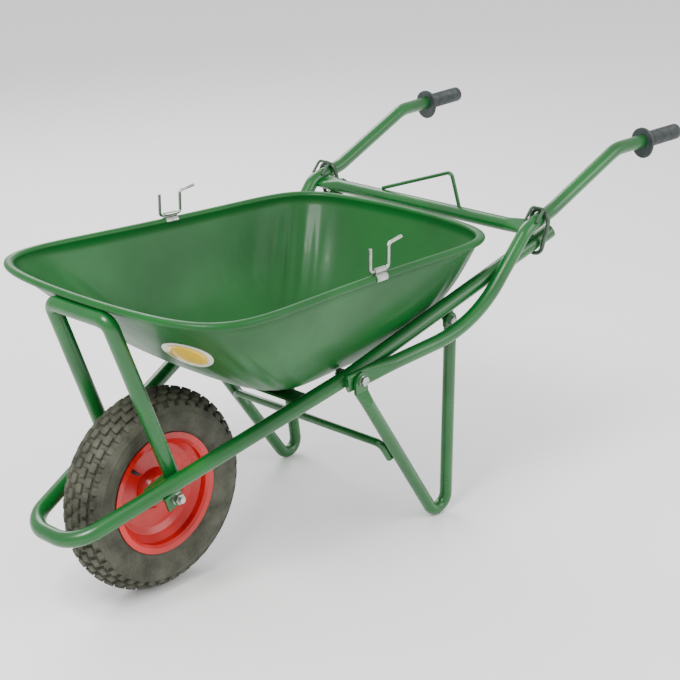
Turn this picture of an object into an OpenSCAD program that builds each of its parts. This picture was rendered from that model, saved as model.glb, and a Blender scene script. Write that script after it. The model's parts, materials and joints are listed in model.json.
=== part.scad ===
// Single-wheel builder's wheelbarrow: a deep-drawn steel tub on one bent frame tube,
// bolt-on handle tubes and legs, and a pneumatic wheel on a fixed axle.
// The wheel leads towards -X, the handles trail towards +X, +Z is up.
// Left and right are those of the person who holds the handles: left is -Y.

/* [Wheel] */
// Outside diameter of the tyre
tyre_d = 390; // [360:1:470]
// Width of the tyre
tyre_w = 95; // [79:1:114]
// Outside diameter of the rim flanges
rim_d = 234; // [195:1:280]
// Width over the rim flanges
rim_w = 76; // [64:1:90]
// Thickness of the rim pressings
rim_wall = 2; // [1.5:0.1:3]
// Diameter of the fixed axle
axle_d = 12; // [10:0.5:14]
// Outside diameter of the hub tube
hub_d = 34; // [30:1:41]
// Length of the hub tube
hub_len = 92; // [84:1:100]

/* [Frame] */
// Outside diameter of the frame tube and the front support
tube_d = 30; // [25:1:32]
// Wall of all tubes
tube_wall = 1.5; // [1:0.1:2.5]
// Where the front loop's centreline crosses ahead of the axle
loop_x = -236; // [-300:1:-235]
// Bend radius of the two corners of the front loop
loop_r = 62; // [50:1:66]
// Half the distance between the frame rails, beside the axle
rail_y = 122; // [112:1:146]
// Height of the frame rails, beside the axle
rail_z = 266; // [240:1:300]
// Distance from the axle back to the main bolts
pivot_x = 323; // [270:1:387]
// Half the distance between the frame rails, at the main bolts
pivot_y = 201; // [190:1:230]
// Height of the main bolts
pivot_z = 368.5; // [340:1:400]
// Distance from the axle back to the frame's tail ends
tail_x = 826; // [815:1:900]
// Half the distance between the frame's tail ends
tail_y = 284; // [280:1:290]
// Thickness of the axle plates
plate_t = 5; // [4:0.5:8]

/* [Handles and legs] */
// Outside diameter of the handle tubes
handle_d = 28; // [24:1:30]
// Distance from the axle back to the end of the grips
grip_end_x = 1238; // [1180:1:1400]
// Length of the grips, with the hand guard
grip_len = 118; // [98:1:142]
// Outside diameter of the grips
grip_d = 33; // [31:1:40]
// Diameter of the grips' hand guards
guard_d = 56; // [46:1:68]
// Outside diameter of the leg tubes
leg_d = 25; // [21:1:30]
// Distance from the axle back to the feet
foot_x = 553; // [500:1:620]
// Half the distance between the feet
foot_y = 216; // [200:1:226]
// Diameter of the round bar between the legs
brace_d = 16; // [13:1:19]

/* [Tub] */
// Length of the tub over its rolled rim
tub_len = 857; // [720:1:900]
// Width of the tub at its middle, over the rolled rim
tub_w = 588; // [560:1:706]
// Height of the rim, above the axle
rim_z = 595.7; // [560:0.1:640]
// Height of the tub's floor
floor_z = 346; // [340:1:360]
// Length of the flat floor
floor_len = 256; // [213:1:307]
// Width of the flat floor
floor_w = 187; // [158:1:228]
// Thickness of the sheet
sheet_t = 1.5; // [1.2:0.1:3]
// Diameter of the rolled rim
bead_d = 15; // [12:1:18]

/* [Fittings] */
// Diameter of the wire in the tool hooks
hook_wire_d = 6.5; // [5:0.5:8]
// Bar diameter of the lock rings
ring_bar_d = 8.5; // [7:0.5:10]
// Length of the lock rings
ring_len = 102; // [101:1:122]
// Thread diameter of the main bolts
bolt_d = 10; // [8:1:12]

/* [Hidden] */
$fn = 64;

// Colours of the finishes
paint_green = [0.09, 0.42, 0.16];
paint_red = [0.85, 0.08, 0.08];
zinc = [0.72, 0.73, 0.72];
bare_bar = [0.16, 0.24, 0.16];
rubber_grey = [0.24, 0.26, 0.21];
grip_black = [0.13, 0.15, 0.15];

// Play between parts that touch but are not one piece
gap = 0.3;
// Running clearance on the axle's radius
running = 0.05;
// How far a tube's straights reach into its bends, and how much less their wall is on each side
lap = 0.3;
skin = 0.05;

// Frame: the right-hand rail runs straight from the front loop to the main bolt.
axle_z = tyre_d / 2;
tube_r = tube_d / 2;
handle_r = handle_d / 2;
leg_r = leg_d / 2;
bead_r = bead_d / 2;
rail_lean = (pivot_y - rail_y) / pivot_x;
rail_rise = (pivot_z - rail_z) / pivot_x;
rail_angle = atan(rail_rise);
pivot = [pivot_x, pivot_y, pivot_z];
tail_rise = 0.352;
tail_end = [tail_x, tail_y, pivot_z + tail_rise * (tail_x - pivot_x)];
tail_dir = unit(tail_end - pivot);
frame_bend_r = 300;

// Handle tubes: squashed flat at the main bolt, swept up past the frame's tail.
flat_t = handle_d / 2;
flat_h = 1.28 * handle_d;
handle_bolt_y = pivot_y + tube_r + flat_t / 2;
handle_back = grip_end_x - 1238;
handle_path = [
    [pivot_x - 24, handle_bolt_y - 4.4, pivot_z - 4.1],
    [pivot_x + 267, pivot_y + 81, pivot_z + 43.1],
    [pivot_x + 417, pivot_y + 92, pivot_z + 203],
    [pivot_x + 499, pivot_y + 88, pivot_z + 219.8],
    [pivot_x + 710 + handle_back, pivot_y + 93, pivot_z + 303 + 0.39 * handle_back],
    [grip_end_x, pivot_y + 102, pivot_z + 301 + 0.39 * handle_back]
];
handle_bends = [0, 280, 42, 90, 90, 0];
handle_start = unit(handle_path[1] - handle_path[0]);
handle_mid = unit(handle_path[3] - handle_path[2]);
grip_dir = unit(handle_path[5] - handle_path[4]);
flat_len = 46;
squash_len = 62;
grip_wall = 3;

// Legs: a V of tube, its front strut squashed against the handle tube.
leg_flat_t = 6;
leg_bolt_y = pivot_y + tube_r + flat_t + leg_flat_t / 2;
leg_bolt = [pivot_x, leg_bolt_y, pivot_z];
leg_neck = leg_bolt - [1, 0, 24];
leg_plate_w = 32;
lug_x = foot_x + 12;
lug_z = pivot_z + 52.5;
lug_t = 5;
lug_w = 26;
lug_y = at_x(pivot, tail_end, lug_x)[1] - lug_t;
lug_bolt = [lug_x, lug_y + lug_t + leg_flat_t / 2, lug_z];
rear_neck = lug_bolt - [0, 0, 14];
leg_bolt_d = 8;
foot_r = 26;
neck_len = 30;
brace_z = 209;
brace_tail = 46;

// Corner of the leg's V, below ground, so that the bend of radius foot_r has its foot at foot_x
function foot_corner(p) = let (
    a = unit(leg_neck - p),
    b = unit(rear_neck - p),
    centre = p + unit(a + b) * foot_r / sin(acos(a * b) / 2)
) p + [foot_x, foot_y, leg_r + foot_r] - centre;
leg_corner = foot_corner(foot_corner(foot_corner([foot_x, foot_y, -40])));
leg_front_dir = unit(leg_neck - leg_corner);
leg_rear_dir = unit(rear_neck - leg_corner);

// Tub
tub_x0 = -136;
rim_half = tub_len / 2;
rim_mid_x = tub_x0 + rim_half;
rim_half_w = tub_w / 2;
rim_tilt = 0.046;
floor_mid_x = 338;
// Powers that shape the walls from floor to rim, then those of the plan's rounded corners
nose_curve = 0.755;
rear_curve = 0.371;
side_curve = 0.439;
nose_corner = [3.76, 6.4];
rear_corner = [2.84, 7.5];
nose_bow = 38.6;
rear_bow = 39.5;
floor_bow = 10;
tub_sides = 88;
wall_steps = 12;
bead_steps = 10;

// Front support and its seat on the axle plates, in the frame of the rail.
support_x = -131;
support_y = 79;
support_top = [support_x, support_y, rim_plane(support_x) - bead_r - tube_r - gap];
support_lean = -0.338;
support_r = 18;
shelf_s = (rail_z - axle_z) * cos(rail_angle) - 8;
plate_y = 61;
plate_front = 24;
plate_back = 15;
plate_drop = 16;

// Wheel
hub_half = hub_len / 2;
bearing_w = 8;
bearing_d = hub_d - 6;
washer_t = 2.5;
axle_nut_w = 19;
axle_nut_t = 10;
axle_half = plate_y + plate_t + washer_t + axle_nut_t + 6;
tyre_wall = 7;

// Fittings
strap_t = 5;
strap_w = 40;
clip_x = 323;
clip_len = 30;
clip_t = 1.5;
knuckle_r = hook_wire_d / 2 + gap + clip_t;
hook_short = 44;
ring_x = pivot_x + 462;
ring_w = 52;
staple_d = 6;
staple_x = ring_x - 31;
staple_bend = 6;
cross_bar_x = pivot_x + 435;
cross_bar_z = pivot_z + 196.5;
bracket_d = 8;

// The object stands on z = 0, with the middle of its length over the origin.
front_end = loop_x - tube_r;
rear_end = grip_end_x + grip_d / 2 * sqrt(1 - pow(grip_dir[0], 2));
origin_x = (front_end + rear_end) / 2;

function unit(v) = v / norm(v);
function mix(a, b, t) = a + (b - a) * t;
function powered(v, p) = sign(v) * pow(abs(v), p);
function flip(p) = [p[0], -p[1], p[2]];
function rail(x) = [x, rail_y + rail_lean * x, rail_z + rail_rise * x];
function at_x(a, b, x) = a + (b - a) * (x - a[0]) / (b[0] - a[0]);
function handle_at(x) = x < handle_path[1][0] ? at_x(handle_path[0], handle_path[1], x)
    : at_x(handle_path[2], handle_path[3], x);
function rim_plane(x) = rim_z - rim_tilt * x;

// Distance from a corner to where its bend begins
function setback(p, r, i) = i == 0 || i == len(p) - 1 ? 0
    : r[i] * tan(acos(unit(p[i] - p[i - 1]) * unit(p[i + 1] - p[i])) / 2);

// Puts its children in the frame with origin o and axes x, y, z
module place(o, x, y, z) {
    multmatrix([
        [x[0], y[0], z[0], o[0]],
        [x[1], y[1], z[1], o[1]],
        [x[2], y[2], z[2], o[2]],
        [0, 0, 0, 1]
    ]) children();
}

// Puts its children's z axis along the line from a towards b
module aim(a, b) {
    z = unit(b - a);
    x = unit(cross(abs(z[1]) > 0.9 ? [0, 0, 1] : [0, 1, 0], z));
    place(a, x, cross(z, x), z) children();
}

module ring(od, id) {
    difference() {
        circle(d = od);
        if (id > 0) circle(d = id);
    }
}

// Straight tube from a to b, its seam a quarter turn from where its bends have theirs
module run(a, b, od, id = 0) {
    aim(a, b) rotate(90) linear_extrude(norm(b - a)) ring(od, id);
}

// Tube bent at corner b, between straights from a and to c
module bend(a, b, c, r, od, id) {
    u = unit(b - a);
    v = unit(c - b);
    turn = acos(u * v);
    inward = unit(v - (u * v) * u);
    centre = b - r * tan(turn / 2) * u + r * inward;
    place(centre, -inward, u, cross(-inward, u))
        rotate_extrude(angle = turn) translate([r, 0]) ring(od, id);
}

// Tube along the points p, with bend radius r[i] at point i. The straights reach a little
// into the bends and are a hair thinner in wall, so that both make one sound solid.
module bent_tube(p, r, od, id = 0) {
    last = len(p) - 1;
    for (i = [1:last]) {
        d = unit(p[i] - p[i - 1]);
        from = p[i - 1] + d * (i == 1 ? 0 : setback(p, r, i - 1) - lap);
        to = p[i] - d * (i == last ? 0 : setback(p, r, i) - lap);
        run(from, to, od - 2 * skin, id > 0 ? id + 2 * skin : 0);
    }
    for (i = [1:last - 1]) bend(p[i - 1], p[i], p[i + 1], r[i], od, id);
}

// Right-hand piece as drawn, or its mirror image for the left
module handed(side) {
    translate([-origin_x, 0, 0]) mirror([0, side == "left" ? 1 : 0, 0]) children();
}

module both() {
    handed("right") children();
    handed("left") children();
}

module centred() {
    translate([-origin_x, 0, 0]) children();
}

// Wheel parts are turned about the axle: profiles are drawn with x as radius, y along it
module on_axle() {
    translate([-origin_x, 0, axle_z]) rotate([-90, 0, 0]) children();
}

// Cylinder along +Y from y0 to y1
module y_bar(x, y0, y1, z, d) {
    translate([x, y0, z]) rotate([-90, 0, 0]) cylinder(d = d, h = y1 - y0);
}

// Hexagon along +Y, w across its flats
module y_hex(x, y0, y1, z, w) {
    translate([x, y0, z]) rotate([-90, 0, 0]) cylinder(d = w / cos(30), h = y1 - y0, $fn = 6);
}

// ---- Tub ----

// Half width of the rim at share u of its half length, from -1 at the front to 1
function rim_width(u) = rim_half_w * (1 - 0.089 * u + 0.056 * u * u);

// Point of the tub at height share h and angle t, d outside the wall, lifted by up
function tub_point(h, t, d = 0, up = 0) = let (
    nose = cos(t) < 0,
    g = pow(h, nose ? nose_curve : rear_curve),
    gs = pow(h, side_curve),
    ends = nose ? nose_corner : rear_corner,
    corner = mix(ends[0], ends[1], g),
    u = powered(cos(t), 2 / corner),
    v = powered(sin(t), 2 / corner),
    bow = mix(floor_bow, nose ? nose_bow : rear_bow, g) * sign(cos(t)) * v * v * abs(u),
    middle = mix(pow(h, nose_curve), pow(h, rear_curve), (1 + u) / 2),
    x = mix(floor_mid_x, rim_mid_x, middle) + u * (mix(floor_len / 2, rim_half - bead_r, g) + d) - bow,
    y = v * (mix(floor_w / 2, rim_width(u) - bead_r, gs) + d)
) [x, y, mix(floor_z, rim_plane(x), h) + up];

// Angles that spread a ring's points evenly along its straight sides
function spread(a) = atan2(powered(sin(a), 2.4), powered(cos(a), 2.4));
function tub_ring(h, d = 0, up = 0) = [for (k = [0:tub_sides - 1]) tub_point(h, spread(360 * k / tub_sides), d, up)];

function wall_share(k) = pow(k / wall_steps, 2);

tub_rings = concat(
    [for (k = [0:wall_steps - 1]) tub_ring(wall_share(k), -sheet_t, sheet_t)],
    [for (k = [0:bead_steps]) let (a = 190 - 330 * k / bead_steps)
        tub_ring(1, bead_r * cos(a), bead_r * sin(a))],
    [for (k = [wall_steps - 1:-1:0]) tub_ring(wall_share(k))]
);

function band(i, k, n) = let (k2 = (k + 1) % n) [
    [i * n + k, (i + 1) * n + k, (i + 1) * n + k2],
    [i * n + k, (i + 1) * n + k2, i * n + k2]
];

module tub() {
    n = tub_sides;
    rows = len(tub_rings);
    points = [for (r = tub_rings) each r];
    faces = concat(
        [[for (k = [0:n - 1]) k]],
        [for (i = [0:rows - 2], k = [0:n - 1]) each band(i, k, n)],
        [[for (k = [n - 1:-1:0]) (rows - 1) * n + k]]
    );
    color(paint_green) centred() polyhedron(points, faces, convexity = 6);
}

// ---- Frame ----

frame_path = [tail_end, pivot, rail(loop_x), flip(rail(loop_x)), flip(pivot), flip(tail_end)];
frame_bends = [0, frame_bend_r, loop_r, loop_r, frame_bend_r, 0];

module frame_tube() {
    color(paint_green) difference() {
        centred() bent_tube(frame_path, frame_bends, tube_d, tube_d - 2 * tube_wall);
        both() y_bar(pivot_x, pivot_y - tube_d, pivot_y + tube_d, pivot_z, bolt_d + 2 * gap);
    }
}

// Solid stand-in for the right-hand rail, for coping what is welded to it
module rail_cut() {
    run(rail(loop_x), pivot, tube_d);
}

module front_support() {
    reach = support_top[2] - shelf_height(support_top[0]);
    foot_x0 = support_top[0] - (reach + 40) * support_lean;
    support_foot = [foot_x0, support_y + 6, support_top[2] - reach - 40];
    color(paint_green) centred() difference() {
        bent_tube(
            [support_foot, support_top, flip(support_top), flip(support_foot)],
            [0, support_r, support_r, 0], tube_d, tube_d - 2 * tube_wall
        );
        translate([0, 0, axle_z]) rotate([0, -rail_angle, 0])
            translate([-rail_z, -rail_z, shelf_s - 100]) cube([2 * rail_z, 2 * rail_z, 100]);
    }
}

// Height of the axle plates' shelf at x
function shelf_height(x) = axle_z + shelf_s / cos(rail_angle) + rail_rise * x;

module axle_plate(side) {
    shelf_x = -plate_front - 32;
    color(paint_green) handed(side) difference() {
        translate([0, 0, axle_z]) rotate([0, -rail_angle, 0]) {
            translate([-plate_front, plate_y, -plate_drop])
                cube([plate_front + plate_back, plate_t, plate_drop + shelf_s]);
            translate([shelf_x, plate_y, shelf_s - plate_t])
                cube([plate_back - shelf_x, rail_y - plate_y, plate_t]);
        }
        y_bar(0, plate_y - 1, plate_y + plate_t + 1, axle_z, axle_d + gap);
        rail_cut();
    }
}
module axle_plate_left() { axle_plate("left"); }
module axle_plate_right() { axle_plate("right"); }

strap_x = floor_mid_x - (floor_len - strap_w) / 2;

module tub_strap() {
    half = rail(strap_x)[1];
    color(paint_green) centred() difference() {
        translate([strap_x - strap_w / 2, -half, floor_z - strap_t]) cube([strap_w, 2 * half, strap_t]);
        rail_cut();
        mirror([0, 1, 0]) rail_cut();
        bent_tube(frame_path, frame_bends, tube_d);
    }
}

// ---- Axle and wheel ----

module axle() {
    color(zinc) centred() y_bar(0, -axle_half, axle_half, axle_z, axle_d);
}

module axle_nuts() {
    y0 = plate_y + plate_t + washer_t;
    color(zinc) both() difference() {
        y_hex(0, y0, y0 + axle_nut_t, axle_z, axle_nut_w);
        y_bar(0, y0 - 1, y0 + axle_nut_t + 1, axle_z, axle_d);
    }
}

module axle_washers() {
    y0 = plate_y + plate_t;
    color(zinc) both() difference() {
        y_bar(0, y0, y0 + washer_t, axle_z, 2 * axle_d);
        y_bar(0, y0 - 1, y0 + washer_t + 1, axle_z, axle_d + gap);
    }
}

module axle_spacers() {
    color(zinc) both() difference() {
        y_bar(0, hub_half + gap, plate_y, axle_z, axle_d + 8);
        y_bar(0, hub_half - 1, plate_y + 1, axle_z, axle_d + gap);
    }
}

module bearing_spacer() {
    half = hub_half - bearing_w - gap;
    color(zinc) centred() difference() {
        y_bar(0, -half, half, axle_z, axle_d + 5);
        y_bar(0, -half - 1, half + 1, axle_z, axle_d + gap);
    }
}

// Section of the tyre's outside, grown inwards by wall on the sides and crown on the tread
module tyre_section(wall, crown) {
    side_r = tyre_w / 2 - wall;
    crown_r = 0.8 * tyre_w - crown;
    intersection() {
        translate([tyre_d / 2 - tyre_w / 2 + 0.5, 0]) circle(r = side_r);
        translate([tyre_d / 2 - 0.8 * tyre_w, 0]) circle(r = crown_r);
    }
}

tread_t = 10;
bead_w = rim_w / 2 - rim_wall;
bead_len = 16;

module tyre() {
    seat = rim_d / 2 - 16 + rim_wall + gap;
    foot_half = bead_w - gap - 3.8;
    color(rubber_grey) on_axle() rotate_extrude() difference() {
        union() {
            tyre_section(0, 0);
            translate([seat, -foot_half]) square([bead_len, 2 * foot_half]);
        }
        tyre_section(tyre_wall, tread_t);
        translate([0, -bead_w - tyre_w]) square([seat, 4 * tyre_w]);
        translate([seat - 1, -bead_w + 13]) square([bead_len + 6, 2 * (bead_w - 13)]);
    }
}

module inner_tube() {
    tube_wall_t = 2;
    color([0.1, 0.1, 0.1]) on_axle() rotate_extrude() difference() {
        tyre_section(tyre_wall + gap, tread_t + gap);
        tyre_section(tyre_wall + tube_wall_t, tread_t + tube_wall_t);
    }
}

function left_of(a, b) = let (d = unit(b - a)) [-d[1], d[0]];
function shifted(p, i, t) = i == 0 ? p[0] + t * left_of(p[0], p[1])
    : i == len(p) - 1 ? p[i] + t * left_of(p[i - 1], p[i])
    : let (a = left_of(p[i - 1], p[i]), b = left_of(p[i], p[i + 1]), m = unit(a + b)) p[i] + m * t / (m * a);

// Face of a rim pressing as radius and distance from the wheel's middle plane
rim_face = [
    [hub_d / 2, 19], [hub_d / 2 + 13, 19], [hub_d / 2 + 24, rim_wall], [rim_d / 2 - 40, rim_wall],
    [rim_d / 2 - 28, 8], [rim_d / 2 - 16, 20], [rim_d / 2 - 16, rim_w / 2 - 5],
    [rim_d / 2 - 11, rim_w / 2], [rim_d / 2, rim_w / 2]
];
valve_angle = 135;
valve_d = 8;

// Places its children where the valve passes the left rim half, z along the valve
module at_valve() {
    translate([-origin_x, 0, axle_z]) rotate([0, -valve_angle, 0])
        translate([rim_d / 2 - 22, -12 - rim_wall, 0]) rotate([90, 0, 0]) rotate([0, -35, 0]) children();
}

module rim_half(side) {
    color(paint_red) difference() {
        handed(side) translate([0, 0, axle_z]) rotate([-90, 0, 0]) rotate_extrude() difference() {
            polygon(concat(rim_face, [for (i = [len(rim_face) - 1:-1:0]) shifted(rim_face, i, -rim_wall)]));
            translate([0, -10]) square([rim_d, 10]);
        }
        if (side == "left") at_valve() cylinder(d = valve_d + gap, h = 60, center = true);
    }
}
module rim_left() { rim_half("left"); }
module rim_right() { rim_half("right"); }

module hub() {
    color(paint_red) centred() difference() {
        y_bar(0, -hub_half, hub_half, axle_z, hub_d);
        y_bar(0, -hub_half - 1, hub_half + 1, axle_z, bearing_d - 5);
        y_bar(0, hub_half - bearing_w, hub_half + 1, axle_z, bearing_d);
        y_bar(0, -hub_half - 1, -hub_half + bearing_w, axle_z, bearing_d);
    }
}

module wheel_bearings() {
    color(zinc) both() difference() {
        y_bar(0, hub_half - bearing_w, hub_half, axle_z, bearing_d);
        y_bar(0, hub_half - bearing_w - 1, hub_half + 1, axle_z, axle_d + 2 * running);
    }
}

module valve_stem() {
    color([0.1, 0.1, 0.1]) at_valve() translate([0, 0, -16]) cylinder(d = valve_d, h = 34);
    color(zinc) at_valve() translate([0, 0, 18]) cylinder(d = valve_d - 2, h = 8);
}

// ---- Handles ----

// Flat oval, w by t
module oval(w, t) {
    square([w - t, t], center = true);
    for (s = [-1, 1]) translate([s * (w - t) / 2, 0]) circle(d = t);
}

// Solid stand-in for the right handle tube behind its squashed end
module handle_cut() {
    bent_tube(handle_path, handle_bends, handle_d);
}

// The squashed end itself
module handle_flat() {
    aim(handle_path[0], handle_path[1]) linear_extrude(flat_len) oval(flat_h, flat_t);
}

module handle_tube(side) {
    squash_end = handle_path[0] + handle_start * (flat_len + squash_len - 4);
    path = concat([squash_end], [for (i = [1:5]) handle_path[i] - (i == 5 ? grip_wall * grip_dir : [0, 0, 0])]);
    color(paint_green) handed(side) difference() {
        union() {
            handle_flat();
            aim(handle_path[0], handle_path[1]) hull() {
                translate([0, 0, flat_len]) linear_extrude(0.5) oval(flat_h, flat_t, $fn = 32);
                translate([0, 0, flat_len + squash_len - 0.5]) cylinder(d = handle_d, h = 0.5, $fn = 32);
            }
            bent_tube(path, handle_bends, handle_d, handle_d - 2 * tube_wall);
        }
        y_bar(pivot_x, handle_bolt_y - 30, handle_bolt_y + 30, pivot_z, bolt_d + 2 * gap);
    }
}
module handle_tube_left() { handle_tube("left"); }
module handle_tube_right() { handle_tube("right"); }

module grip(side) {
    guard_t = 5;
    guard_drop = 12;
    start = handle_path[5] - grip_len * grip_dir;
    color(grip_black) handed(side) aim(start, handle_path[5]) difference() {
        union() {
            cylinder(d = grip_d, h = grip_len);
            cylinder(d = guard_d, h = guard_t);
            translate([guard_drop, 0, 0]) cylinder(d = guard_d - 8, h = guard_t);
        }
        translate([0, 0, -1]) cylinder(d = handle_d, h = grip_len - grip_wall + 1);
    }
}
module grip_left() { grip("left"); }
module grip_right() { grip("right"); }

// The cross bar's ends are squashed into fish tails and welded inside the handle tubes
module cross_bar() {
    end_y = handle_at(cross_bar_x)[1];
    tail_from = end_y - handle_r - 46;
    slope = atan(handle_mid[2] / handle_mid[0]);
    color(paint_green) centred() difference() {
        union() {
            difference() {
                y_bar(cross_bar_x, -tail_from, tail_from, cross_bar_z, handle_d);
                y_bar(cross_bar_x, -tail_from + 1, tail_from - 1, cross_bar_z, handle_d - 2 * tube_wall);
            }
            for (s = [0, 1]) mirror([0, s, 0]) hull() {
                y_bar(cross_bar_x, tail_from - 0.5, tail_from, cross_bar_z, handle_d, $fn = 32);
                translate([cross_bar_x, end_y - 4, cross_bar_z + 5]) rotate([0, -slope - 12, 0])
                    cube([42, 8, 6], center = true);
            }
        }
        handle_cut();
        mirror([0, 1, 0]) handle_cut();
    }
}

module bar_bracket() {
    top = cross_bar_z + 83;
    color(paint_green) centred() difference() {
        bent_tube(
            [[cross_bar_x, 104, cross_bar_z + 17], [cross_bar_x, -86, top], [cross_bar_x, -108, cross_bar_z + 6]],
            [0, 11, 0], bracket_d
        );
        y_bar(cross_bar_x, -200, 200, cross_bar_z, handle_d);
    }
}

// ---- Legs ----

// Squashed end of a leg tube: from the round end, over a neck, to a disc round the bolt
module leg_plate(tube_end, dir, neck, bolt) {
    hull() {
        aim(tube_end - dir, tube_end) cylinder(d = leg_d, h = 1, $fn = 32);
        translate(neck) cube([leg_plate_w, leg_flat_t, 1], center = true);
    }
    translate([neck[0] - leg_plate_w / 2, bolt[1] - leg_flat_t / 2, neck[2]])
        cube([leg_plate_w, leg_flat_t, bolt[2] - neck[2]]);
    y_bar(bolt[0], bolt[1] - leg_flat_t / 2, bolt[1] + leg_flat_t / 2, bolt[2], leg_plate_w);
}

module leg(side) {
    front_end = leg_neck - neck_len * leg_front_dir;
    rear_top = rear_neck - neck_len * leg_rear_dir;
    color(paint_green) handed(side) difference() {
        union() {
            bent_tube([front_end, leg_corner, rear_top], [0, foot_r, 0], leg_d, leg_d - 2 * tube_wall);
            leg_plate(front_end, leg_front_dir, leg_neck, leg_bolt);
            leg_plate(rear_top, leg_rear_dir, rear_neck, lug_bolt);
        }
        handle_flat();
        y_bar(pivot_x, leg_bolt_y - 20, leg_bolt_y + 20, pivot_z, bolt_d + 2 * gap);
        y_bar(lug_x, lug_y - 20, lug_y + 40, lug_z, leg_bolt_d + 2 * gap);
    }
}
module leg_left() { leg("left"); }
module leg_right() { leg("right"); }

module leg_lugs() {
    top = at_x(pivot, tail_end, lug_x)[2];
    color(paint_green) both() difference() {
        translate([lug_x - lug_w / 2, lug_y, lug_z - 12]) cube([lug_w, lug_t, top - lug_z + 12]);
        run(pivot, tail_end, tube_d);
        y_bar(lug_x, lug_y - 5, lug_y + lug_t + 5, lug_z, leg_bolt_d + 2 * gap);
    }
}

module leg_brace() {
    at = leg_corner + leg_front_dir * (brace_z - leg_corner[2]) / leg_front_dir[2];
    ahead = unit([-leg_front_dir[2], 0, leg_front_dir[0]]);
    inward = unit(cross(leg_front_dir, ahead));
    corner = at + (ahead * cos(60) + inward * sin(60)) * (leg_r + brace_d / 2 + 0.2);
    tip = corner - brace_tail * leg_front_dir;
    color(paint_green) centred()
        bent_tube([tip, corner, flip(corner), flip(tip)], [0, 14, 14, 0], brace_d);
}

// ---- Fasteners ----

main_out = leg_bolt_y + leg_flat_t / 2;
main_washer_d = 2 * bolt_d;
main_in = pivot_y - tube_r - rail_lean * main_washer_d / 2 - gap;
main_nut_t = 7;
main_stub = 2.5;
// How far a bolt's shank reaches into its head
head_root = 3;
main_af = 17;

module main_bolts() {
    color(zinc) both() {
        y_bar(pivot_x, main_in - washer_t - main_nut_t - main_stub, main_out + washer_t + head_root, pivot_z, bolt_d);
        y_hex(pivot_x, main_out + washer_t, main_out + washer_t + 7, pivot_z, main_af);
    }
}

module main_nuts() {
    y0 = main_in - washer_t - main_nut_t;
    color(zinc) both() difference() {
        y_hex(pivot_x, y0, y0 + main_nut_t, pivot_z, main_af);
        y_bar(pivot_x, y0 - 1, y0 + main_nut_t + 1, pivot_z, bolt_d);
    }
}

module main_washers() {
    color(zinc) both() for (y0 = [main_in - washer_t, main_out]) difference() {
        y_bar(pivot_x, y0, y0 + washer_t, pivot_z, main_washer_d);
        y_bar(pivot_x, y0 - 1, y0 + washer_t + 1, pivot_z, bolt_d + gap);
    }
}

leg_nut_t = 6.5;
leg_af = 13;

module leg_bolts() {
    out = lug_y + lug_t + leg_flat_t;
    color(zinc) both() {
        y_bar(lug_x, lug_y - leg_nut_t - 3, out + head_root, lug_z, leg_bolt_d);
        y_hex(lug_x, out, out + 5.5, lug_z, leg_af);
    }
}

module leg_nuts() {
    color(zinc) both() difference() {
        y_hex(lug_x, lug_y - leg_nut_t, lug_y, lug_z, leg_af);
        y_bar(lug_x, lug_y - leg_nut_t - 1, lug_y + 1, lug_z, leg_bolt_d);
    }
}

// ---- Tool hooks on the rim ----

function rim_at(x) = [x, rim_width((x - rim_mid_x) / rim_half) - bead_r, rim_plane(x)];
rim_dir = unit(rim_at(clip_x) - rim_at(clip_x + 1));
rim_up = unit(cross([0, 1, 0], rim_dir));
knuckle_up = bead_r + gap + clip_t + knuckle_r - 0.5;

// Local frame at the clip: z forwards along the rim, x inwards, y up
module at_clip() {
    place(rim_at(clip_x), cross(rim_up, rim_dir), rim_up, rim_dir) children();
}

module hook_clip(side) {
    r = bead_r + gap;
    color(zinc) handed(side) at_clip() linear_extrude(clip_len, center = true) difference() {
        union() {
            circle(r = r + clip_t);
            translate([0, knuckle_up]) circle(r = knuckle_r);
        }
        circle(r = r);
        translate([-3 * r, -3 * r]) square([6 * r, 2.35 * r]);
        translate([0, -3 * r]) square([3 * r, 3 * r]);
        translate([0, knuckle_up]) circle(r = hook_wire_d / 2 + 0.1);
    }
}
module hook_clip_left() { hook_clip("left"); }
module hook_clip_right() { hook_clip("right"); }

module tool_hook(side) {
    half = 25.5;
    u = knuckle_up;
    color(zinc) handed(side) at_clip() bent_tube(
        [[0, u + hook_short, half], [0, u, half], [0, u, -half], [0, u + hook_short, -half],
            [0, u + hook_short + 6, -half - 36]],
        [0, hook_wire_d, hook_wire_d, hook_wire_d, 0], hook_wire_d
    );
}
module tool_hook_left() { tool_hook("left"); }
module tool_hook_right() { tool_hook("right"); }

// ---- Lock rings round the handle tubes and the frame's tails ----

ring_handle = at_x(handle_path[2], handle_path[3], ring_x);
ring_tail = at_x(pivot, tail_end, ring_x);
ring_up = unit(ring_handle - ring_tail);
ring_across = unit(cross(ring_up, tail_dir));
ring_axis_up = handle_r / cos(atan(handle_mid[2] / handle_mid[0])) + gap + ring_bar_d / 2;
ring_pivot = ring_handle + ring_up * ring_axis_up;

module lock_ring(side) {
    turn_r = (ring_w - ring_bar_d) / 2;
    rise = ring_len - ring_w;
    color(bare_bar) handed(side)
        place(ring_pivot, ring_across, -ring_up, cross(ring_across, -ring_up)) translate([0, turn_r, 0]) {
            rotate([0, 0, 180]) rotate_extrude(angle = 180) translate([turn_r, 0]) circle(d = ring_bar_d);
            translate([0, rise, 0]) rotate_extrude(angle = 180) translate([turn_r, 0]) circle(d = ring_bar_d);
            for (s = [-1, 1]) translate([s * turn_r, 0, 0]) rotate([-90, 0, 0]) cylinder(d = ring_bar_d, h = rise);
        }
}
module lock_ring_left() { lock_ring("left"); }
module lock_ring_right() { lock_ring("right"); }

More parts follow.
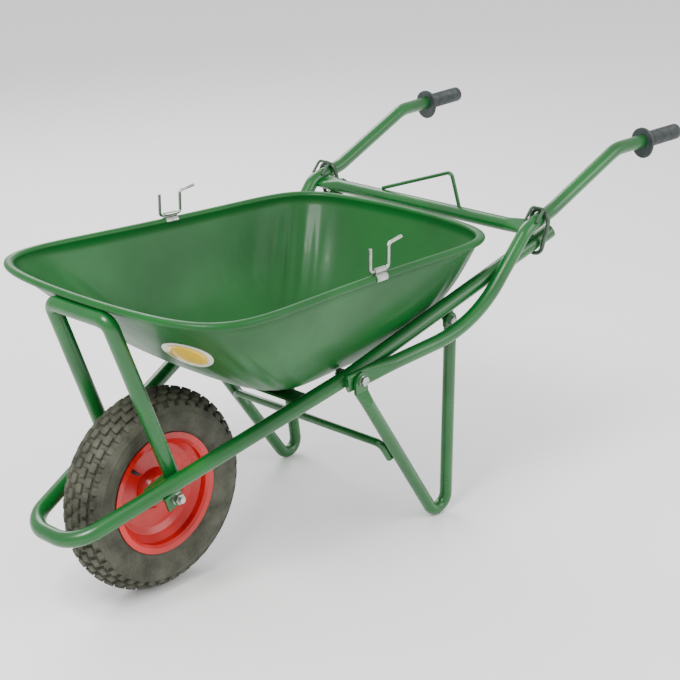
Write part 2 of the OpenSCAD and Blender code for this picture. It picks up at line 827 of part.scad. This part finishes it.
// Wire bow over the handle tube, leaning back over the ring's top
module ring_staple(side) {
    base = at_x(handle_path[2], handle_path[3], staple_x);
    out = [0, handle_r + 0.5, 0];
    low = base + [0, 0, handle_r - 6];
    top = base + [22, 0, handle_r + 17];
    color(bare_bar) handed(side) difference() {
        bent_tube([low - out, top - out, top + out, low + out], [0, staple_bend, staple_bend, 0], staple_d);
        handle_cut();
    }
}
module ring_staple_left() { ring_staple("left"); }
module ring_staple_right() { ring_staple("right"); }

tub();
frame_tube();
front_support();
tub_strap();
axle_plate_left();
axle_plate_right();
axle();
axle_nuts();
axle_washers();
axle_spacers();
tyre();
inner_tube();
valve_stem();
rim_left();
rim_right();
hub();
wheel_bearings();
bearing_spacer();
handle_tube_left();
handle_tube_right();
grip_left();
grip_right();
cross_bar();
bar_bracket();
leg_left();
leg_right();
leg_brace();
leg_lugs();
main_bolts();
main_nuts();
main_washers();
leg_bolts();
leg_nuts();
hook_clip_left();
hook_clip_right();
tool_hook_left();
tool_hook_right();
lock_ring_left();
lock_ring_right();
ring_staple_left();
ring_staple_right();
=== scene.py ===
# %% [markdown]
# A builder's wheelbarrow in Blender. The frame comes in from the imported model, and every piece
# made here stands in the same place as its part there. Sizes are in metres.

# %% Load the frame
import bpy
import bmesh
import json
import math
import numpy as np
from mathutils import Matrix, Vector


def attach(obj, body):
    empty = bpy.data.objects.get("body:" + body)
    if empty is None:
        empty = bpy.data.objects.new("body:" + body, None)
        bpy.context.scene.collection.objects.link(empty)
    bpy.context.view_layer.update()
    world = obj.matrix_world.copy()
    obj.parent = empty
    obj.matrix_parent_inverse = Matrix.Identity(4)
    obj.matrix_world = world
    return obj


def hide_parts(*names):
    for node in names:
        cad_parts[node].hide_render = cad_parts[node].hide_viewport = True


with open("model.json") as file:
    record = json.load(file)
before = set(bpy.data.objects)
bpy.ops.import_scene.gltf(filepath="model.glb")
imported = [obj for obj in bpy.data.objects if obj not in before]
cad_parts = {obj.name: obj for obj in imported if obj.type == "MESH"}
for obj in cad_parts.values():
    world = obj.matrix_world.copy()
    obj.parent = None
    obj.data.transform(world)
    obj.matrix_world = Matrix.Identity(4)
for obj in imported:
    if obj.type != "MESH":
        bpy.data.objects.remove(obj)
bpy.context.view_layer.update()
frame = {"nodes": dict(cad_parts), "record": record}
joint = {j["name"]: j for j in frame["record"]["behaviour"]["joints"]}
AXLE = Vector(joint["wheel_spin"]["pos_m"])
print("pieces in the frame:", len(frame["nodes"]), "axle at", tuple(AXLE))

# %% [markdown]
# Finishes share two effects. The first is the slow change of tone and gloss that any painted or
# rubbed surface has. The second is a fine grain for the bump. Each is a node group, built once.

# %% Helpers for node trees
def socket(group, name, kind, way="INPUT", value=None):
    s = group.interface.new_socket(name=name, in_out=way, socket_type=kind)
    if value is not None:
        s.default_value = value
    return s


def node(tree, kind, **settings):
    n = tree.nodes.new(kind)
    for key, value in settings.items():
        setattr(n, key, value)
    return n


def maths(tree, operation, a, b=None, clamp=False):
    n = node(tree, "ShaderNodeMath", operation=operation, use_clamp=clamp)
    for i, v in enumerate((a, b)):
        if isinstance(v, (int, float)):
            n.inputs[i].default_value = v
        elif v is not None:
            tree.links.new(v, n.inputs[i])
    return n.outputs[0]


# %% The tone group
def tone_group():
    g = bpy.data.node_groups.new("Surface tone", "ShaderNodeTree")
    socket(g, "Vector", "NodeSocketVector")
    socket(g, "Light", "NodeSocketColor", value=(0.5, 0.5, 0.5, 1))
    socket(g, "Dark", "NodeSocketColor", value=(0.2, 0.2, 0.2, 1))
    socket(g, "Cloud Scale", "NodeSocketFloat", value=9.0)
    socket(g, "Speck Scale", "NodeSocketFloat", value=240.0)
    socket(g, "Speck Amount", "NodeSocketFloat", value=0.2)
    socket(g, "Low Roughness", "NodeSocketFloat", value=0.25)
    socket(g, "High Roughness", "NodeSocketFloat", value=0.4)
    socket(g, "Color", "NodeSocketColor", "OUTPUT")
    socket(g, "Roughness", "NodeSocketFloat", "OUTPUT")
    i, o = node(g, "NodeGroupInput"), node(g, "NodeGroupOutput")
    cloud = node(g, "ShaderNodeTexNoise")
    cloud.inputs["Detail"].default_value = 5.0
    speck = node(g, "ShaderNodeTexNoise")
    g.links.new(i.outputs["Vector"], cloud.inputs["Vector"])
    g.links.new(i.outputs["Cloud Scale"], cloud.inputs["Scale"])
    g.links.new(i.outputs["Vector"], speck.inputs["Vector"])
    g.links.new(i.outputs["Speck Scale"], speck.inputs["Scale"])
    wide = node(g, "ShaderNodeMapRange")
    wide.inputs["From Min"].default_value = 0.32
    wide.inputs["From Max"].default_value = 0.68
    g.links.new(cloud.outputs["Fac"], wide.inputs["Value"])
    dots = maths(g, "MULTIPLY", maths(g, "SUBTRACT", speck.outputs["Fac"], 0.5), i.outputs["Speck Amount"])
    share = maths(g, "ADD", wide.outputs["Result"], dots, clamp=True)
    mix = node(g, "ShaderNodeMix", data_type="RGBA")
    g.links.new(share, mix.inputs["Factor"])
    g.links.new(i.outputs["Dark"], mix.inputs[6])
    g.links.new(i.outputs["Light"], mix.inputs[7])
    rough = node(g, "ShaderNodeMapRange")
    g.links.new(share, rough.inputs["Value"])
    g.links.new(i.outputs["High Roughness"], rough.inputs["To Min"])
    g.links.new(i.outputs["Low Roughness"], rough.inputs["To Max"])
    g.links.new(mix.outputs[2], o.inputs["Color"])
    g.links.new(rough.outputs["Result"], o.inputs["Roughness"])
    return g


# %% The grain group
def grain_group():
    g = bpy.data.node_groups.new("Surface grain", "ShaderNodeTree")
    socket(g, "Vector", "NodeSocketVector")
    socket(g, "Stretch", "NodeSocketVector", value=(1, 1, 1))
    socket(g, "Fine Scale", "NodeSocketFloat", value=600.0)
    socket(g, "Wave Scale", "NodeSocketFloat", value=40.0)
    socket(g, "Wave Share", "NodeSocketFloat", value=0.3)
    socket(g, "Height", "NodeSocketFloat", "OUTPUT")
    i, o = node(g, "NodeGroupInput"), node(g, "NodeGroupOutput")
    scaled = node(g, "ShaderNodeVectorMath", operation="MULTIPLY")
    g.links.new(i.outputs["Vector"], scaled.inputs[0])
    g.links.new(i.outputs["Stretch"], scaled.inputs[1])
    fine, wave = node(g, "ShaderNodeTexNoise"), node(g, "ShaderNodeTexNoise")
    g.links.new(i.outputs["Vector"], fine.inputs["Vector"])
    g.links.new(i.outputs["Fine Scale"], fine.inputs["Scale"])
    g.links.new(scaled.outputs["Vector"], wave.inputs["Vector"])
    g.links.new(i.outputs["Wave Scale"], wave.inputs["Scale"])
    share = maths(g, "MULTIPLY", wave.outputs["Fac"], i.outputs["Wave Share"])
    rest = maths(g, "MULTIPLY", fine.outputs["Fac"], maths(g, "SUBTRACT", 1.0, i.outputs["Wave Share"]))
    g.links.new(maths(g, "ADD", share, rest), o.inputs["Height"])
    return g


TONE, GRAIN = tone_group(), grain_group()
print("shared effects:", TONE.name, "and", GRAIN.name)

# %% [markdown]
# Each finish is one Principled shader fed by the two groups. A gloss paint gets a clear coat, bare
# and plated metals are metallic, and rubber is rough with almost no shine.

# %% Make a finish
def finish(name, light, dark, rough, metal=0.0, coat=0.0, bump=0.2, depth=0.0002, cloud=9.0,
           speck=0.2, fine=600.0, wave=40.0, share=0.3, stretch=(1, 1, 1), specular=0.5):
    m = bpy.data.materials.new(name)
    m.use_nodes = True
    t = m.node_tree
    shader = t.nodes["Principled BSDF"]
    place = node(t, "ShaderNodeTexCoord").outputs["Object"]
    tone, grain = node(t, "ShaderNodeGroup"), node(t, "ShaderNodeGroup")
    tone.node_tree, grain.node_tree = TONE, GRAIN
    tone.inputs["Light"].default_value = (*light, 1)
    tone.inputs["Dark"].default_value = (*dark, 1)
    tone.inputs["Cloud Scale"].default_value = cloud
    tone.inputs["Speck Amount"].default_value = speck
    tone.inputs["Low Roughness"].default_value = rough[0]
    tone.inputs["High Roughness"].default_value = rough[1]
    grain.inputs["Fine Scale"].default_value = fine
    grain.inputs["Wave Scale"].default_value = wave
    grain.inputs["Wave Share"].default_value = share
    grain.inputs["Stretch"].default_value = stretch
    for g in (tone, grain):
        t.links.new(place, g.inputs["Vector"])
    relief = node(t, "ShaderNodeBump")
    relief.inputs["Strength"].default_value = bump
    relief.inputs["Distance"].default_value = depth
    t.links.new(grain.outputs["Height"], relief.inputs["Height"])
    t.links.new(tone.outputs["Color"], shader.inputs["Base Color"])
    t.links.new(tone.outputs["Roughness"], shader.inputs["Roughness"])
    t.links.new(relief.outputs["Normal"], shader.inputs["Normal"])
    shader.inputs["Metallic"].default_value = metal
    shader.inputs["Coat Weight"].default_value = coat
    shader.inputs["Coat Roughness"].default_value = 0.12
    shader.inputs["Specular IOR Level"].default_value = specular
    return m


# %% The finishes of this barrow
GREEN, DARK_GREEN = (0.003, 0.112, 0.015), (0.002, 0.070, 0.010)
paint_green = finish("Green gloss paint", GREEN, DARK_GREEN, (0.24, 0.36), coat=0.18,
                     bump=0.35, depth=0.0004, wave=70, share=0.6)
tub_green = finish("Green paint on drawn sheet", (0.003, 0.105, 0.014), (0.002, 0.068, 0.009), (0.38, 0.52),
                   coat=0.08, specular=0.3, bump=0.5, depth=0.0012, cloud=5, wave=26, share=0.85, stretch=(1.5, 1.5, 0.22))
paint_red = finish("Red gloss paint", (0.58, 0.006, 0.006), (0.38, 0.004, 0.004), (0.24, 0.36), coat=0.15)
zinc = finish("Zinc plating", (0.56, 0.58, 0.55), (0.30, 0.32, 0.29), (0.26, 0.42), metal=1.0, cloud=45)
bare_bar = finish("Green-black bar", (0.045, 0.100, 0.050), (0.020, 0.038, 0.024), (0.34, 0.5), metal=0.4,
                  cloud=40, coat=0.2)
tyre_rubber = finish("Olive-grey tyre rubber", (0.080, 0.082, 0.058), (0.036, 0.037, 0.026), (0.62, 0.85),
                     bump=0.5, depth=0.0005, cloud=22, speck=0.8, fine=900, specular=0.35)
tube_rubber = finish("Black rubber", (0.03, 0.03, 0.03), (0.02, 0.02, 0.02), (0.5, 0.7))
grip_rubber = finish("Soft dark grip", (0.032, 0.042, 0.044), (0.014, 0.020, 0.021), (0.38, 0.55),
                     bump=0.5, cloud=60, fine=1200)
label_yellow = finish("Blank yellow label", (0.80, 0.55, 0.03), (0.70, 0.44, 0.02), (0.3, 0.4), coat=0.3)
label_edge = finish("Label edge", (0.72, 0.74, 0.66), (0.60, 0.62, 0.55), (0.3, 0.4), coat=0.3)
BY_SLOT = {"paint_green": paint_green, "paint_red": paint_red, "zinc": zinc, "bare_bar": bare_bar,
           "tyre": tyre_rubber, "rubber": tube_rubber, "grip": grip_rubber}
for part in frame["record"]["subparts"]:
    mesh = frame["nodes"][part["node"]].data
    mesh.materials.clear()
    mesh.materials.append(BY_SLOT[part["material_slot"]])
print("finishes:", len(BY_SLOT) + 3)

# %% [markdown]
# Most new pieces are grids of points: rings or columns joined by quads. One helper turns such a
# grid into a closed mesh, and another gives the mesh its object, finish and body.

# %% Mesh helpers
def grid_mesh(name, rings, start=None, end=None):
    bm = bmesh.new()
    rows = [[bm.verts.new(p) for p in ring] for ring in rings]
    n = len(rows[0])
    for a, b in zip(rows, rows[1:]):
        for k in range(n):
            bm.faces.new((a[k], a[(k + 1) % n], b[(k + 1) % n], b[k]))
    for tip, row in ((start, rows[0]), (end, rows[-1])):
        if tip is not None:
            pole = bm.verts.new(tip)
            for k in range(n):
                bm.faces.new((row[k], row[(k + 1) % n], pole))
    if start is None and end is None:
        for k in range(n):
            bm.faces.new((rows[-1][k], rows[-1][(k + 1) % n], rows[0][(k + 1) % n], rows[0][k]))
    bmesh.ops.recalc_face_normals(bm, faces=bm.faces)
    mesh = bpy.data.meshes.new(name)
    bm.to_mesh(mesh)
    bm.free()
    mesh.shade_smooth()
    return mesh


def piece(name, mesh, material, body):
    obj = bpy.data.objects.new(name, mesh)
    bpy.context.scene.collection.objects.link(obj)
    if material is not None:
        mesh.materials.clear()
        mesh.materials.append(material)
    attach(obj, body)
    return obj


# %% [markdown]
# The tub is one sheet, drawn deep and rolled round a wire at its rim. Its plan is a rounded
# rectangle that changes from floor to rim, and its walls curve. The mesh follows the same rule as
# the frame's tub, on a finer grid, with a rounded foot to the wall and faint draw marks.

# %% The rule of the tub
TUB_X0, TUB_LEN, TUB_HALF, RIM_Z, RIM_TILT = -0.136, 0.857, 0.294, 0.5957, 0.046
FLOOR_X, FLOOR_Z, FLOOR_LEN, FLOOR_W = 0.338, 0.346, 0.256, 0.187
BEAD, SHEET = 0.0075, 0.0015
RIM_HALF = TUB_LEN / 2
RIM_X = TUB_X0 + RIM_HALF


def powered(v, p):
    return math.copysign(abs(v) ** p, v)


def mix(a, b, t):
    return a + (b - a) * t


def tub_point(h, t, d=0.0, up=0.0):
    nose = math.cos(t) < 0
    g, gs = h ** (0.755 if nose else 0.371), h ** 0.439
    corner = mix(*((3.76, 6.4) if nose else (2.84, 7.5)), g)
    u, v = powered(math.cos(t), 2 / corner), powered(math.sin(t), 2 / corner)
    bow = mix(0.010, 0.0386 if nose else 0.0395, g) * math.copysign(v * v * abs(u), math.cos(t))
    width = TUB_HALF * (1 - 0.089 * u + 0.056 * u * u) - BEAD
    middle = mix(h ** 0.755, h ** 0.371, (1 + u) / 2)
    x = mix(FLOOR_X, RIM_X, middle) + u * (mix(FLOOR_LEN / 2, RIM_HALF - BEAD, g) + d) - bow
    y = v * (mix(FLOOR_W / 2, width, gs) + d)
    rim = RIM_Z - RIM_TILT * x
    return Vector((x + AXLE.x, y, mix(FLOOR_Z, rim, h) + up))


# %% Points of the outer wall, from the middle of the floor to the rim
SIDES, WALL_ROWS = 288, 46
spread = [2 * math.pi * k / SIDES for k in range(SIDES)]
turns = [math.atan2(powered(math.sin(a), 2.1), powered(math.cos(a), 2.1)) for a in spread]
floor_mid = Vector((FLOOR_X + AXLE.x, 0, FLOOR_Z))
shares = [0.2, 0.4, 0.55, 0.68, 0.78, 0.86, 0.92, 0.96]
outer = [[floor_mid.lerp(tub_point(0, t), s) for t in turns] for s in shares]
outer += [[tub_point((k / WALL_ROWS) ** 2.2, t) for t in turns] for k in range(WALL_ROWS)]
outer = np.array(outer)
for _ in range(14):
    middle = (outer[:-2] + outer[2:]) / 2
    fade = np.exp(-((np.arange(1, len(outer) - 1) - 9) / 7.0) ** 2)[:, None, None]
    outer[1:-1] += 0.6 * fade * (middle - outer[1:-1])

# %% Draw marks: faint waves that run down the walls, strongest at the corners
rise = np.clip((outer[:, :, 2] - FLOOR_Z) / 0.22, 0, 1)
turn = np.array(turns)[None, :]
at_corner = np.abs(np.sin(2 * turn)) ** 1.5
waves = 0.0016 * at_corner * np.sin(26 * turn + 5 * rise) + 0.0009 * np.sin(9 * turn + 3 * rise)
waves = waves * np.sin(np.pi * rise) ** 1.2
across = np.roll(outer, -1, 1) - np.roll(outer, 1, 1)
along = np.gradient(outer, axis=0)
normal = np.cross(across, along)
normal /= np.linalg.norm(normal, axis=2, keepdims=True)
outer = outer + normal * waves[:, :, None]
inner = outer - SHEET * normal
tip_in = floor_mid + Vector((0, 0, SHEET))
if inner[0, :, 2].mean() < FLOOR_Z:
    inner = outer + SHEET * normal
print("the tub's wall rises from", round(outer[:, :, 2].min(), 3), "to", round(outer[:, :, 2].max(), 3))

# %% Close the wall with the rolled rim
bead = []
for k in range(19):
    a = math.radians(188 - 328 * k / 18)
    bead.append([tub_point(1, t, BEAD * math.cos(a), BEAD * math.sin(a)) for t in turns])
rings = [list(map(Vector, r)) for r in inner] + bead + [list(map(Vector, r)) for r in outer[::-1]]
tub = piece("tub_drawn", grid_mesh("tub_drawn", rings, tip_in, floor_mid), tub_green, "frame")
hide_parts("tub")
print("tub faces:", len(tub.data.polygons))

# %% [markdown]
# The tyre has a smooth carcass and rows of blocks. The carcass is turned from its section. The
# blocks repeat, so a Geometry Nodes tree places them: one row is a ring of copies of one block,
# leaning with the tyre's shoulder.

# %% Turn a section about the axle
def turned(name, section, steps=160):
    rings = []
    for r, y in section:
        rings.append([Vector((r * math.cos(2 * math.pi * k / steps), y, r * math.sin(2 * math.pi * k / steps)))
                      + AXLE for k in range(steps)])
    return grid_mesh(name, rings)


TYRE_MID, TYRE_ROUND, FOOT_R, FOOT_HALF, THICK = 0.148, 0.047, 0.1035, 0.0322, 0.007
TREAD = 0.0062


def tyre_skin(angle):
    dip = TREAD * min(1, max(0, (64 - abs(angle)) / 6)) - 0.0011 * (78 < abs(angle) < 83)
    r = TYRE_ROUND - 0.0004 - dip
    return TYRE_MID + r * math.cos(math.radians(angle)), r * math.sin(math.radians(angle))


section = [(FOOT_R, -FOOT_HALF)] + [tyre_skin(a) for a in np.linspace(-136, 136, 69)] + [(FOOT_R, FOOT_HALF)]
hollow = TYRE_ROUND - THICK - TREAD / 2
section += [(FOOT_R, 0.0232)]
section += [(TYRE_MID + hollow * math.cos(math.radians(a)), hollow * math.sin(math.radians(a)))
            for a in np.linspace(140, -140, 33)]
section += [(FOOT_R, -0.0232)]
carcass = turned("carcass", section)

# %% One tread block, with eased edges
def block_object():
    bm = bmesh.new()
    bmesh.ops.create_cube(bm, size=1)
    for v in bm.verts:
        if v.co.z > 0:
            v.co.x *= 0.84
            v.co.y *= 0.84
    bmesh.ops.bevel(bm, geom=list(bm.edges), offset=0.07, segments=1, affect="EDGES")
    mesh = bpy.data.meshes.new("block")
    bm.to_mesh(mesh)
    bm.free()
    return bpy.data.objects.new("block", mesh)


block = block_object()

# %% The tree that sets one row of blocks
def row_tree():
    g = bpy.data.node_groups.new("Tread row", "GeometryNodeTree")
    socket(g, "Block", "NodeSocketObject")
    socket(g, "Count", "NodeSocketInt", value=42)
    socket(g, "Radius", "NodeSocketFloat", value=0.19)
    socket(g, "Across", "NodeSocketFloat")
    socket(g, "Lean", "NodeSocketFloat")
    socket(g, "Phase", "NodeSocketFloat")
    socket(g, "Size", "NodeSocketVector", value=(0.02, 0.01, 0.006))
    socket(g, "Material", "NodeSocketMaterial")
    socket(g, "Geometry", "NodeSocketGeometry", "OUTPUT")
    i, o = node(g, "NodeGroupInput"), node(g, "NodeGroupOutput")
    index = node(g, "GeometryNodeInputIndex").outputs[0]
    share = maths(g, "DIVIDE", maths(g, "ADD", index, i.outputs["Phase"]), i.outputs["Count"])
    angle = maths(g, "MULTIPLY", share, 2 * math.pi)
    spot = node(g, "ShaderNodeCombineXYZ")
    g.links.new(maths(g, "MULTIPLY", maths(g, "COSINE", angle), i.outputs["Radius"]), spot.inputs[0])
    g.links.new(i.outputs["Across"], spot.inputs[1])
    g.links.new(maths(g, "MULTIPLY", maths(g, "SINE", angle), i.outputs["Radius"]), spot.inputs[2])
    facing = node(g, "ShaderNodeCombineXYZ")
    g.links.new(maths(g, "MULTIPLY", i.outputs["Lean"], -1.0), facing.inputs[0])
    g.links.new(maths(g, "SUBTRACT", math.pi / 2, angle), facing.inputs[1])
    turn_to = node(g, "FunctionNodeEulerToRotation")
    g.links.new(facing.outputs[0], turn_to.inputs[0])
    points = node(g, "GeometryNodePoints")
    g.links.new(i.outputs["Count"], points.inputs["Count"])
    g.links.new(spot.outputs[0], points.inputs["Position"])
    info = node(g, "GeometryNodeObjectInfo")
    g.links.new(i.outputs["Block"], info.inputs["Object"])
    put = node(g, "GeometryNodeInstanceOnPoints")
    g.links.new(points.outputs[0], put.inputs["Points"])
    g.links.new(info.outputs["Geometry"], put.inputs["Instance"])
    g.links.new(turn_to.outputs[0], put.inputs["Rotation"])
    g.links.new(i.outputs["Size"], put.inputs["Scale"])
    real, dress = node(g, "GeometryNodeRealizeInstances"), node(g, "GeometryNodeSetMaterial")
    g.links.new(put.outputs[0], real.inputs[0])
    g.links.new(real.outputs[0], dress.inputs["Geometry"])
    g.links.new(i.outputs["Material"], dress.inputs["Material"])
    g.links.new(dress.outputs[0], o.inputs["Geometry"])
    return g


ROW = row_tree()


def grown(tree, **values):
    holder = bpy.data.objects.new("holder", bpy.data.meshes.new("holder"))
    bpy.context.scene.collection.objects.link(holder)
    mod = holder.modifiers.new("tree", "NODES")
    mod.node_group = tree
    ids = {s.name: s.identifier for s in tree.interface.items_tree if s.in_out == "INPUT"}
    for name, value in values.items():
        mod[ids[name.replace("_", " ")]] = value
    dg = bpy.context.evaluated_depsgraph_get()
    mesh = bpy.data.meshes.new_from_object(holder.evaluated_get(dg))
    bpy.data.objects.remove(holder)
    return mesh


# %% Set the rows: lean from the crown, phase, length, width and height of the blocks
bpy.context.scene.collection.objects.link(block)
ROWS = [(0, 0.0, 0.020, 0.0120), (19, 0.5, 0.019, 0.0115), (-19, 0.5, 0.019, 0.0115),
        (38, 0.0, 0.020, 0.0115), (-38, 0.0, 0.020, 0.0115), (57, 0.5, 0.016, 0.0125), (-57, 0.5, 0.016, 0.0125)]
both = bmesh.new()
both.from_mesh(carcass)
for lean, phase, length, width in ROWS:
    lean = math.radians(lean)
    reach = TYRE_ROUND - 0.0036
    row = grown(ROW, Block=block, Count=42, Radius=TYRE_MID + reach * math.cos(lean),
                Across=reach * math.sin(lean), Lean=lean, Phase=phase, Size=(length, width, 0.0072),
                Material=tyre_rubber)
    row.transform(Matrix.Translation(AXLE))
    both.from_mesh(row)
bpy.data.objects.remove(block)
tyre_mesh = bpy.data.meshes.new("tyre_blocks")
both.to_mesh(tyre_mesh)
both.free()
tyre_mesh.set_sharp_from_angle(angle=math.radians(32))
tyre = piece("tyre_blocks", tyre_mesh, tyre_rubber, "wheel")
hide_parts("tyre")
print("tyre faces:", len(tyre_mesh.polygons))

# %% [markdown]
# Each grip is soft rubber pushed over the tube's end: fine ribs round it, a rounded end and a
# guard that keeps knuckles off door frames. It is turned about the handle's own line.

# %% Grips
GRIP_END = Vector((1.238, 0.303, 0.6695)) + Vector((AXLE.x, 0, 0))
GRIP_FROM = Vector((1.033, 0.294, 0.6715)) + Vector((AXLE.x, 0, 0))
GRIP_LEN, GRIP_R, GUARD_R, TUBE_R = 0.118, 0.0165, 0.028, 0.0142


def grip_rings(side):
    end, start = GRIP_END.copy(), GRIP_FROM.copy()
    end.y, start.y = side * end.y, side * start.y
    axis = (end - start).normalized()
    drop = (Vector((0, 0, -1)) - axis * axis.dot(Vector((0, 0, -1)))).normalized()
    flank = axis.cross(drop)
    root = end - axis * GRIP_LEN
    profile = [(0.0, TUBE_R), (0.0, GUARD_R - 0.0012), (0.0012, GUARD_R), (0.0042, GUARD_R), (0.0055, GUARD_R - 0.0015),
               (0.0075, GRIP_R + 0.002), (0.010, GRIP_R - 0.0004)]
    ribs = 26
    for k in range(ribs):
        z = 0.0115 + 0.0036 * k
        profile += [(z, GRIP_R - 0.0009), (z + 0.0008, GRIP_R), (z + 0.0022, GRIP_R), (z + 0.003, GRIP_R - 0.0009)]
    profile += [(0.1085, GRIP_R), (0.1145, GRIP_R), (0.1172, GRIP_R - 0.0022), (0.118, GRIP_R - 0.006)]
    rings = []
    for z, r in profile:
        ring = []
        for k in range(48):
            a = 2 * math.pi * k / 48
            lobe = 0.0085 * max(0, math.cos(a)) ** 2 if r > GRIP_R + 0.004 else 0
            ring.append(root + axis * z + (drop * math.cos(a) + flank * math.sin(a)) * (r + lobe))
        rings.append(ring)
    inner_end = root + axis * (GRIP_LEN - 0.003)
    back = [[root + axis * z + (drop * math.cos(2 * math.pi * k / 48) + flank * math.sin(2 * math.pi * k / 48)) * r
             for k in range(48)] for z, r in ((GRIP_LEN - 0.0028, 0.004), (GRIP_LEN - 0.0028, TUBE_R), (0.0, TUBE_R))]
    return back[:2] + [back[2]] + rings[1:], inner_end, end


for side, word in ((1, "right"), (-1, "left")):
    rings, tip_a, tip_b = grip_rings(side)
    mesh = grid_mesh(f"grip_ribbed_{word}", rings, tip_a, tip_b)
    mesh.set_sharp_from_angle(angle=math.radians(40))
    grip = piece(f"grip_ribbed_{word}", mesh, grip_rubber, "frame")
    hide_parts(f"grip_{word}")
print("grips made")

# %% [markdown]
# A blank oval label sits low on the tub's front corner. It is a thin patch that follows the
# wall, so it is made from the tub's own rule, a little outside it.

# %% The label
LABEL_H, LABEL_V = 0.60, 0.486
LONG, SHORT = (-0.06, 0.147), (0.15, 0.17)


def label_point(scale, angle, lift):
    c, s = scale * math.cos(angle), scale * math.sin(angle)
    h = LABEL_H + LONG[0] * c + SHORT[0] * s
    v = LABEL_V + LONG[1] * c + SHORT[1] * s
    return tub_point(h, math.pi + math.asin(v ** (mix(3.76, 6.4, h ** 0.755) / 2)), lift)


def label_rings(scale, lift):
    turn_steps = [2 * math.pi * k / 64 for k in range(64)]
    rings = [[label_point(scale * share, a, lift) for a in turn_steps] for share in (0.33, 0.66, 1)]
    rings.append([label_point(scale, a, 0.0002) for a in turn_steps])
    return rings, label_point(0, 0, lift), label_point(0, 0, 0.0002)


for name, scale, lift, material in (("label_edge", 1.0, 0.0020, label_edge), ("label_face", 0.84, 0.0026, label_yellow)):
    rings, top_tip, low_tip = label_rings(scale, lift)
    piece(name, grid_mesh(name, rings, top_tip, low_tip), material, "frame")

# %% [markdown]
# The camera stands where it sees the barrow at the angle wanted, and soft lights on a pale floor
# show the gloss of the paint without hard shadows.

# %% Camera
AZIMUTH, ELEVATION, ROLL = math.radians(-45.58), math.radians(20.82), math.radians(-1.89)
back = Vector((math.sin(AZIMUTH) * math.cos(ELEVATION), -math.cos(AZIMUTH) * math.cos(ELEVATION), math.sin(ELEVATION)))
right = Vector((math.cos(AZIMUTH), math.sin(AZIMUTH), 0))
up = back.cross(right)
right2 = right * math.cos(ROLL) + up * math.sin(ROLL)
up2 = up * math.cos(ROLL) - right * math.sin(ROLL)
camera = bpy.data.objects.new("camera", bpy.data.cameras.new("camera"))
bpy.context.scene.collection.objects.link(camera)
turn_matrix = Matrix((right2, up2, back)).transposed().to_4x4()
turn_matrix.translation = Vector((-1.7845, -2.24655, 1.5579)) + Vector((AXLE.x, 0, 0))
camera.matrix_world = turn_matrix
camera.data.sensor_width = 36
camera.data.lens = 89.84
camera.data.clip_end = 100
bpy.context.scene.camera = camera

# %% Floor and lights
def flat(name, size, z):
    bpy.ops.mesh.primitive_plane_add(size=size, location=(0, 0, z))
    plane = bpy.context.object
    plane.name = name
    return plane


floor = flat("floor", 40, -0.0005)
pale = bpy.data.materials.new("Pale floor")
pale.use_nodes = True
pale.node_tree.nodes["Principled BSDF"].inputs["Base Color"].default_value = (0.97, 0.97, 0.97, 1)
pale.node_tree.nodes["Principled BSDF"].inputs["Roughness"].default_value = 0.9
floor.data.materials.append(pale)
world = bpy.data.worlds.new("studio")
world.use_nodes = True
world.node_tree.nodes["Background"].inputs["Color"].default_value = (1, 1, 1, 1)
world.node_tree.nodes["Background"].inputs["Strength"].default_value = 1.1
bpy.context.scene.world = world


def soft_light(name, place, aim, size, power):
    data = bpy.data.lights.new(name, "AREA")
    data.size, data.energy = size, power
    light = bpy.data.objects.new(name, data)
    bpy.context.scene.collection.objects.link(light)
    light.location = place
    light.rotation_euler = (Vector(aim) - Vector(place)).to_track_quat("-Z", "Y").to_euler()


soft_light("key", (-2.2, -0.6, 3.0), (0, 0, 0.4), 1.2, 120)
soft_light("fill", (1.4, -3.0, 1.8), (0, 0, 0.4), 2.0, 45)
soft_light("back", (1.2, 2.6, 2.6), (0, 0, 0.5), 1.8, 70)
